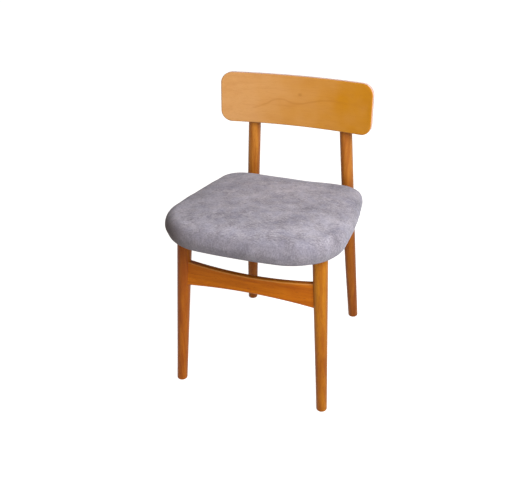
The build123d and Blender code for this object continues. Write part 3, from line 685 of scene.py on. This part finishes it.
class ChairPadSeat(bpy.types.Operator):
    """Fill the seat cushion and cover it with brushed pile."""

    bl_idname = "chair.pad_seat"
    bl_label = "Pad seat"

    # Frames that the cloth runs for, held heights over which the cover comes free, and share of the
    # greatest roll from which a point counts as edge
    frames = 20
    loose_heights = 3
    full_roll = 0.5

    def execute(self, context):
        seat = context.scene.chair_seat
        cushion = new_piece("seat_cushion", hull("seat_cover"), brushed_pile())
        remesh = cushion.modifiers.new("Even mesh", "REMESH")
        remesh.mode = "VOXEL"
        remesh.voxel_size = seat.voxel
        cushion.data = applied(cushion)
        cushion.modifiers.clear()
        free, rolled = self.loosen(cushion, seat)
        self.fill(cushion, seat, free, rolled)
        finer = cushion.modifiers.new("Finer mesh", "SUBSURF")
        finer.levels = finer.render_levels = 1
        cushion.data = applied(cushion)
        cushion.modifiers.clear()
        cushion.data.shade_smooth()
        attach(cushion, BODY)
        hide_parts("seat_cover", "seat_foam")
        return {"FINISHED"}

    def loosen(self, cushion, seat):
        """Roll the foam's edges over.

        Gives back how free each point is, from 0 on the board to 1 above, and how far it was rolled over,
        from 0 on the level top to 1 along the edges.
        """
        vertices = cushion.data.vertices
        to_seat = seat_frame().inverted()
        heights = numpy.array([(to_seat @ vertex.co).z for vertex in vertices])
        free = numpy.clip((heights - seat.pinned) / (self.loose_heights * seat.pinned), 0, 1)[:, None]
        sharp = numbers(vertices, "co", numpy.float32, 3)
        soft = evened(cushion.data, sharp, seat.rounding)
        vertices.foreach_set("co", (sharp + (soft - sharp) * free).ravel())
        cushion.data.update()
        rolled = numpy.linalg.norm((soft - sharp) * free, axis=1)[:, None]
        rolled = evened(cushion.data, rolled, seat.evening)
        return free, numpy.clip(rolled / rolled.max() / self.full_roll, 0, 1)

    def fill(self, cushion, seat, free, rolled):
        """Blow the cushion up as cloth, with its underside held, and let the foam even it out."""
        vertices = cushion.data.vertices
        normals = numbers(vertices, "normal", numpy.float32, 3)
        start = numbers(vertices, "co", numpy.float32, 3) - normals * free * seat.start_inset
        vertices.foreach_set("co", start.ravel())
        held = cushion.vertex_groups.new(name="held")
        held.add(numpy.flatnonzero(free == 0).tolist(), 1.0, "REPLACE")
        self.inflate(cushion, seat, held)
        swollen = applied(cushion)
        cushion.modifiers.clear()
        cushion.vertex_groups.clear()
        bpy.context.scene.frame_set(1)
        move = ((numbers(swollen.vertices, "co", numpy.float32, 3) - start) * normals).sum(1)[:, None]
        move = evened(cushion.data, numpy.clip(move, -seat.swell_cap, seat.swell_cap), seat.evening)
        filled = seat.crown + (seat.roll_out - seat.crown) * rolled
        move += seat.start_inset + filled - numpy.average(move, weights=free)
        vertices.foreach_set("co", (start + normals * move * free).ravel())
        cushion.data.update()

    def inflate(self, cushion, seat, held):
        """Run the cloth for some frames with air pressure inside and no gravity."""
        cloth = cushion.modifiers.new("Fill", "CLOTH")
        rules = cloth.settings
        rules.use_pressure = True
        rules.uniform_pressure_force = seat.pressure
        rules.tension_stiffness = rules.compression_stiffness = rules.shear_stiffness = seat.tension
        rules.vertex_group_mass = held.name
        rules.effector_weights.gravity = 0.0
        cloth.point_cache.frame_start = 1
        cloth.point_cache.frame_end = self.frames
        for step in range(1, self.frames + 1):
            bpy.context.scene.frame_set(step)


def turn_of(first, second, third):
    """Positive where three flat points turn left."""
    return (second.x - first.x) * (third.y - first.y) - (second.y - first.y) * (third.x - first.x)


def convex_ring(points):
    """Outer ring of flat points, turning left."""
    ordered = sorted(points, key=lambda point: (point.x, point.y))
    ring = []
    for run in (ordered, ordered[::-1]):
        half = []
        for point in run:
            while len(half) > 1 and turn_of(half[-2], half[-1], point) <= 0:
                half.pop()
            half.append(point)
        ring += half[:-1]
    return ring


def inset_ring(ring, inset):
    """Ring moved inwards by inset."""
    moved = []
    for index, point in enumerate(ring):
        along = ring[(index + 1) % len(ring)] - ring[index - 1]
        inward = Vector((-along.y, along.x, 0)).normalized()
        moved.append(point + inward * inset)
    return moved


def even_ring(ring, count):
    """The same closed ring with evenly spaced points."""
    lengths = [(ring[(index + 1) % len(ring)] - ring[index]).length for index in range(len(ring))]
    step = sum(lengths) / count
    points, index, passed = [], 0, 0.0
    for number in range(count):
        goal = number * step
        while passed + lengths[index] < goal:
            passed += lengths[index]
            index += 1
        share = (goal - passed) / lengths[index]
        points.append(ring[index].lerp(ring[(index + 1) % len(ring)], share))
    return points


def dust_cloth_rim(inset, count):
    """Points round the dust cloth, laid flat and drawn in by inset, evenly spaced."""
    to_seat = seat_frame().inverted()
    flat = set()
    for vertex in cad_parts["seat_dust_cover"].data.vertices:
        spot = to_seat @ vertex.co
        flat.add((round(spot.x, 5), round(spot.y, 5)))
    outer = convex_ring([Vector((x, y, 0.0)) for x, y in flat])
    return even_ring(inset_ring(outer, inset), count)


class ChairStretchDustCloth(bpy.types.Operator):
    """Stretch the black dust cloth under the seat."""

    bl_idname = "chair.stretch_dust_cloth"
    bl_label = "Stretch dust cloth"

    # Points round the rim, rings to the middle, and the ripples' height, length and rise from the rim
    points = 160
    rings = 24
    ripple = 0.12 * MM
    ripple_length = 18 * MM
    ripple_rise = 6

    def execute(self, context):
        seat = context.scene.chair_seat
        rim = dust_cloth_rim(0.0, self.points)
        centre = sum(rim, Vector()) / len(rim)
        shape = bmesh.new()
        upper = self.add_side(shape, rim, centre, -seat.cover_thick, 0.0)
        lower = self.add_side(shape, rim, centre, -seat.cover_thick - seat.cloth_thick, self.ripple)
        for index in range(self.points):
            after = (index + 1) % self.points
            shape.faces.new((upper[index], lower[index], lower[after], upper[after]))
        bmesh.ops.recalc_face_normals(shape, faces=shape.faces)
        mesh = bpy.data.meshes.new("seat_dust_cloth")
        shape.to_mesh(mesh)
        shape.free()
        mesh.transform(seat_frame())
        cloth = new_piece("seat_dust_cloth", mesh, spun_cloth())
        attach(cloth, BODY)
        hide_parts("seat_dust_cover")
        return {"FINISHED"}

    def add_side(self, shape, rim, centre, level, ripple):
        """One face of the cloth as rings from its rim to its middle; gives back the rim's vertices."""
        loops = []
        for ring in range(self.rings):
            inward = ring / self.rings
            loop = []
            for point in rim:
                spot = point.lerp(centre, inward)
                wave = noise.noise(spot / self.ripple_length)
                spot.z = level + ripple * wave * min(1.0, self.ripple_rise * inward)
                loop.append(shape.verts.new(spot))
            loops.append(loop)
        hub = shape.verts.new((centre.x, centre.y, level))
        for index in range(self.points):
            after = (index + 1) % self.points
            for outer, inner in zip(loops, loops[1:]):
                shape.faces.new((outer[index], outer[after], inner[after], inner[index]))
            shape.faces.new((loops[-1][index], loops[-1][after], hub))
        return loops[0]


def staple_tree(material):
    """Node tree that bends staples from wire and sets them evenly along a rim."""
    tree = bpy.data.node_groups.new("Staples along a rim", "GeometryNodeTree")
    face = tree.interface
    face.new_socket("Rim", in_out="INPUT", socket_type="NodeSocketGeometry")
    face.new_socket("Count", in_out="INPUT", socket_type="NodeSocketInt")
    for name in ("Crown", "Leg", "Wire", "Band"):
        face.new_socket(name, in_out="INPUT", socket_type="NodeSocketFloat")
    face.new_socket("Staples", in_out="OUTPUT", socket_type="NodeSocketGeometry")
    given = node(tree, "NodeGroupInput").outputs
    bow = node(tree, RECTANGLE, {"Width": given["Leg"], "Height": given["Crown"]})
    bow = node(tree, "GeometryNodeSetSplineCyclic", {"Geometry": bow, "Cyclic": False})
    bow = node(tree, "GeometryNodeFilletCurve", {
        "Curve": bow, "Radius": given["Wire"], "Count": 3,
    }, mode="POLY")
    band = node(tree, RECTANGLE, {"Width": given["Wire"], "Height": given["Band"]})
    wire = node(tree, "GeometryNodeCurveToMesh", {"Curve": bow, "Profile Curve": band, "Fill Caps": True})
    half_leg = node(tree, MATH, {0: given["Leg"], 1: 0.5}, operation="MULTIPLY")
    rise = node(tree, "ShaderNodeCombineXYZ", {"Z": half_leg})
    stood = node(tree, "GeometryNodeTransform", {
        "Geometry": wire, "Translation": rise, "Rotation": (0.0, radians(-90), radians(90)),
    })
    rim = node(tree, "GeometryNodeMeshToCurve", {"Mesh": given["Rim"]})
    spots = node(tree, "GeometryNodeCurveToPoints", {"Curve": rim, "Count": given["Count"]})
    turned = node(tree, "FunctionNodeAlignRotationToVector", {
        "Vector": spots.outputs["Tangent"],
    }, axis="X", pivot_axis="Z")
    placed = node(tree, "GeometryNodeInstanceOnPoints", {
        "Points": spots, "Instance": stood, "Rotation": turned,
    })
    real = node(tree, "GeometryNodeRealizeInstances", {"Geometry": placed})
    plated = node(tree, "GeometryNodeSetMaterial", {"Geometry": real, "Material": material})
    node(tree, "NodeGroupOutput", {"Staples": plated})
    return tree


class ChairDriveStaples(bpy.types.Operator):
    """Drive staples round the underside of the seat."""

    bl_idname = "chair.drive_staples"
    bl_label = "Drive staples"

    rim_points = 240

    def execute(self, context):
        seat, hardware = context.scene.chair_seat, context.scene.chair_hardware
        material = zinc_plate()
        rim = dust_cloth_rim(hardware.staple_inset, self.rim_points)
        mesh = bpy.data.meshes.new("staple_rim")
        edges = [(index, (index + 1) % len(rim)) for index in range(len(rim))]
        mesh.from_pydata([point[:] for point in rim], edges, [])
        staples = new_piece("staples", mesh, material)
        tree = staple_tree(material)
        modifier = staples.modifiers.new("Staples", "NODES")
        modifier.node_group = tree
        values = {
            "Count": hardware.staple_count, "Crown": hardware.staple_crown, "Leg": hardware.staple_leg,
            "Wire": hardware.staple_wire, "Band": hardware.staple_width,
        }
        for item in tree.interface.items_tree:
            if item.name in values:
                modifier[item.identifier] = values[item.name]
        made = applied(staples)
        staples.modifiers.clear()
        under = hardware.staple_wire / 2 - seat.cover_thick - seat.cloth_thick
        made.transform(seat_frame() @ Matrix.Translation((0, 0, under)))
        staples.data = made
        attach(staples, BODY)
        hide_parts("seat_staples")
        return {"FINISHED"}


# Frame, backrest, hardware


class ChairFinishFrame(bpy.types.Operator):
    """Stain and lacquer the legs and rails."""

    bl_idname = "chair.finish_frame"
    bl_label = "Finish frame"

    def execute(self, context):
        wood = context.scene.chair_wood
        # The left front leg's darker glaze is painted shade
        for side, glaze_and_painted_light in (("left", wood.left_glaze_and_shade), ("right", wood.right_glaze)):
            dress(("front_leg_" + side,), stained_beech("stained_beech_front_leg_" + side, "Z", glaze_and_painted_light))
        # Above the seat the posts' glaze paints a reflection; below it the rear legs' glaze paints the
        # seat's shade
        dress(REAR_LEGS, stained_beech("stained_beech_rear_legs", "Z", wood.post_glaze_and_sheen, wood.rear_glaze_and_seat_shade))
        dress(CROSS_RAILS, stained_beech("stained_beech_cross_rails", "X", wood.rail_glaze))
        dress(SIDE_RAILS, stained_beech("stained_beech_side_rails", "Y", wood.rail_glaze))
        dress(BARE_WOOD, bare_wood("planed_beech", "X"))
        dress(("seat_board",), bare_wood("sanded_plywood", "X"))
        return {"FINISHED"}


class ChairFinishBackrest(bpy.types.Operator):
    """Veneer and lacquer the backrest."""

    bl_idname = "chair.finish_backrest"
    bl_label = "Finish backrest"

    def execute(self, context):
        dress(("backrest_panel",), veneered_plywood())
        return {"FINISHED"}


class ChairFinishHardware(bpy.types.Operator):
    """Plate the screws and colour the glides."""

    bl_idname = "chair.finish_hardware"
    bl_label = "Finish hardware"

    def execute(self, context):
        dress(SCREWS, zinc_plate())
        dress(GLIDES, moulded_nylon())
        return {"FINISHED"}


# Stage


def seen_directly(tree):
    """1 for rays that show the backdrop as it is, in the picture, in gloss and through glass."""
    path = node(tree, "ShaderNodeLightPath").outputs
    total = path["Is Camera Ray"]
    for name in ("Is Glossy Ray", "Is Transmission Ray"):
        total = node(tree, MATH, {0: total, 1: path[name]}, operation="MAXIMUM")
    return total


class ChairSetStage(bpy.types.Operator):
    """Set up the floor, the lamps, the sky and the camera."""

    bl_idname = "chair.set_stage"
    bl_label = "Set stage"

    floor_radius = 14.0
    floor_sides = 64
    lamp_size = 1.25
    lamp_target = (0.0, 0.0, 0.45)
    key_place = (1.24, -1.05, 1.64)
    front_place = (0.7, -2.8, 0.7)
    back_place = (0.2, 2.7, 1.5)

    def execute(self, context):
        stage = context.scene.chair_stage
        self.lay_floor(stage)
        self.light_sky(stage)
        self.hang_lamp("key_lamp", self.key_place, stage.key, stage.key_colour)
        self.hang_lamp("front_lamp", self.front_place, stage.front, stage.fill_colour)
        self.hang_lamp("back_lamp", self.back_place, stage.back, stage.fill_colour)
        self.set_camera(stage)
        context.scene.view_settings.view_transform = "Standard"
        return {"FINISHED"}

    def lay_floor(self, stage):
        """Large round floor that keeps the chair's shadow and shows white where it is lit."""
        shape = bmesh.new()
        bmesh.ops.create_circle(
            shape, cap_ends=True, segments=self.floor_sides, radius=self.floor_radius
        )
        mesh = bpy.data.meshes.new("floor")
        shape.to_mesh(mesh)
        shape.free()
        material, tree, _ = new_material("pale_studio_floor")
        matt = node(tree, "ShaderNodeBsdfDiffuse", {"Color": opaque(stage.floor_colour)})
        glow = node(tree, MATH, {0: seen_directly(tree), 1: stage.floor_glow}, operation="MULTIPLY")
        glow = node(tree, "ShaderNodeEmission", {"Strength": glow})
        node(tree, SURFACE, {"Surface": node(tree, "ShaderNodeAddShader", {0: matt, 1: glow})})
        new_piece("floor", mesh, material)

    def light_sky(self, stage):
        """Even light from all round, white where it is seen."""
        world = bpy.data.worlds.new("studio_sky")
        bpy.context.scene.world = world
        world.use_nodes = True
        tree = world.node_tree
        tree.nodes.clear()
        even = node(tree, "ShaderNodeBackground", {
            "Strength": stage.sky, "Color": opaque(stage.sky_colour),
        })
        white = node(tree, "ShaderNodeBackground", {"Strength": 1.0, "Color": (1.0, 1.0, 1.0, 1.0)})
        mixed = node(tree, "ShaderNodeMixShader", {0: seen_directly(tree), 1: even, 2: white})
        node(tree, "ShaderNodeOutputWorld", {"Surface": mixed})

    def hang_lamp(self, name, place, power, colour):
        """Large square lamp that faces the chair."""
        light = bpy.data.lights.new(name, "AREA")
        light.size = self.lamp_size
        light.energy = power
        light.color = colour
        lamp = bpy.data.objects.new(name, light)
        bpy.context.scene.collection.objects.link(lamp)
        lamp.location = place
        lamp.rotation_euler = (Vector(self.lamp_target) - Vector(place)).to_track_quat("-Z", "Y").to_euler()

    def set_camera(self, stage):
        """Camera at the height, turn and tilt of the picture."""
        camera = bpy.data.cameras.new("camera")
        camera.sensor_width = SENSOR_WIDTH
        camera.lens = stage.focal_pixels / IMAGE_WIDTH * SENSOR_WIDTH
        eye = bpy.data.objects.new("camera", camera)
        bpy.context.scene.collection.objects.link(eye)
        turn = Matrix.Rotation(stage.camera_turn, 4, "Z")
        pitch = Matrix.Rotation(pi / 2 - stage.camera_pitch, 4, "X")
        roll = Matrix.Rotation(-stage.camera_roll, 4, "Z")
        eye.matrix_world = Matrix.Translation(stage.camera_place) @ turn @ pitch @ roll
        bpy.context.scene.camera = eye


class ChairPanel(bpy.types.Panel):
    """Steps that dress the chair, in order, and their settings."""

    bl_idname = "VIEW3D_PT_dining_chair"
    bl_label = "Dining chair"
    bl_space_type = "VIEW_3D"
    bl_region_type = "UI"
    bl_category = "Dining chair"

    def draw(self, context):
        for step in STEPS:
            self.layout.operator(step.bl_idname)
        for name, group in SETTINGS.items():
            for setting in group.__annotations__:
                self.layout.prop(getattr(context.scene, name), setting)


STEPS = (
    ChairFinishFrame,
    ChairFinishBackrest,
    ChairFinishHardware,
    ChairPadSeat,
    ChairStretchDustCloth,
    ChairDriveStaples,
    ChairSetStage,
)
SETTINGS = {
    "chair_wood": ChairWoodSettings,
    "chair_seat": ChairSeatSettings,
    "chair_hardware": ChairHardwareSettings,
    "chair_stage": ChairStageSettings,
}


def register():
    """Register the settings, the operators and the panel."""
    for name, group in SETTINGS.items():
        bpy.utils.register_class(group)
        setattr(bpy.types.Scene, name, bpy.props.PointerProperty(type=group))
    for step in STEPS:
        bpy.utils.register_class(step)
    bpy.utils.register_class(ChairPanel)


def unregister():
    """Undo register in the opposite order."""
    bpy.utils.unregister_class(ChairPanel)
    for step in reversed(STEPS):
        bpy.utils.unregister_class(step)
    for name, group in reversed(SETTINGS.items()):
        delattr(bpy.types.Scene, name)
        bpy.utils.unregister_class(group)


def main():
    """Dress the chair and set the stage."""
    register()
    bpy.ops.chair.finish_frame()
    bpy.ops.chair.finish_backrest()
    bpy.ops.chair.finish_hardware()
    bpy.ops.chair.pad_seat()
    bpy.ops.chair.stretch_dust_cloth()
    bpy.ops.chair.drive_staples()
    bpy.ops.chair.set_stage()


if __name__ == "__main__":
    main()
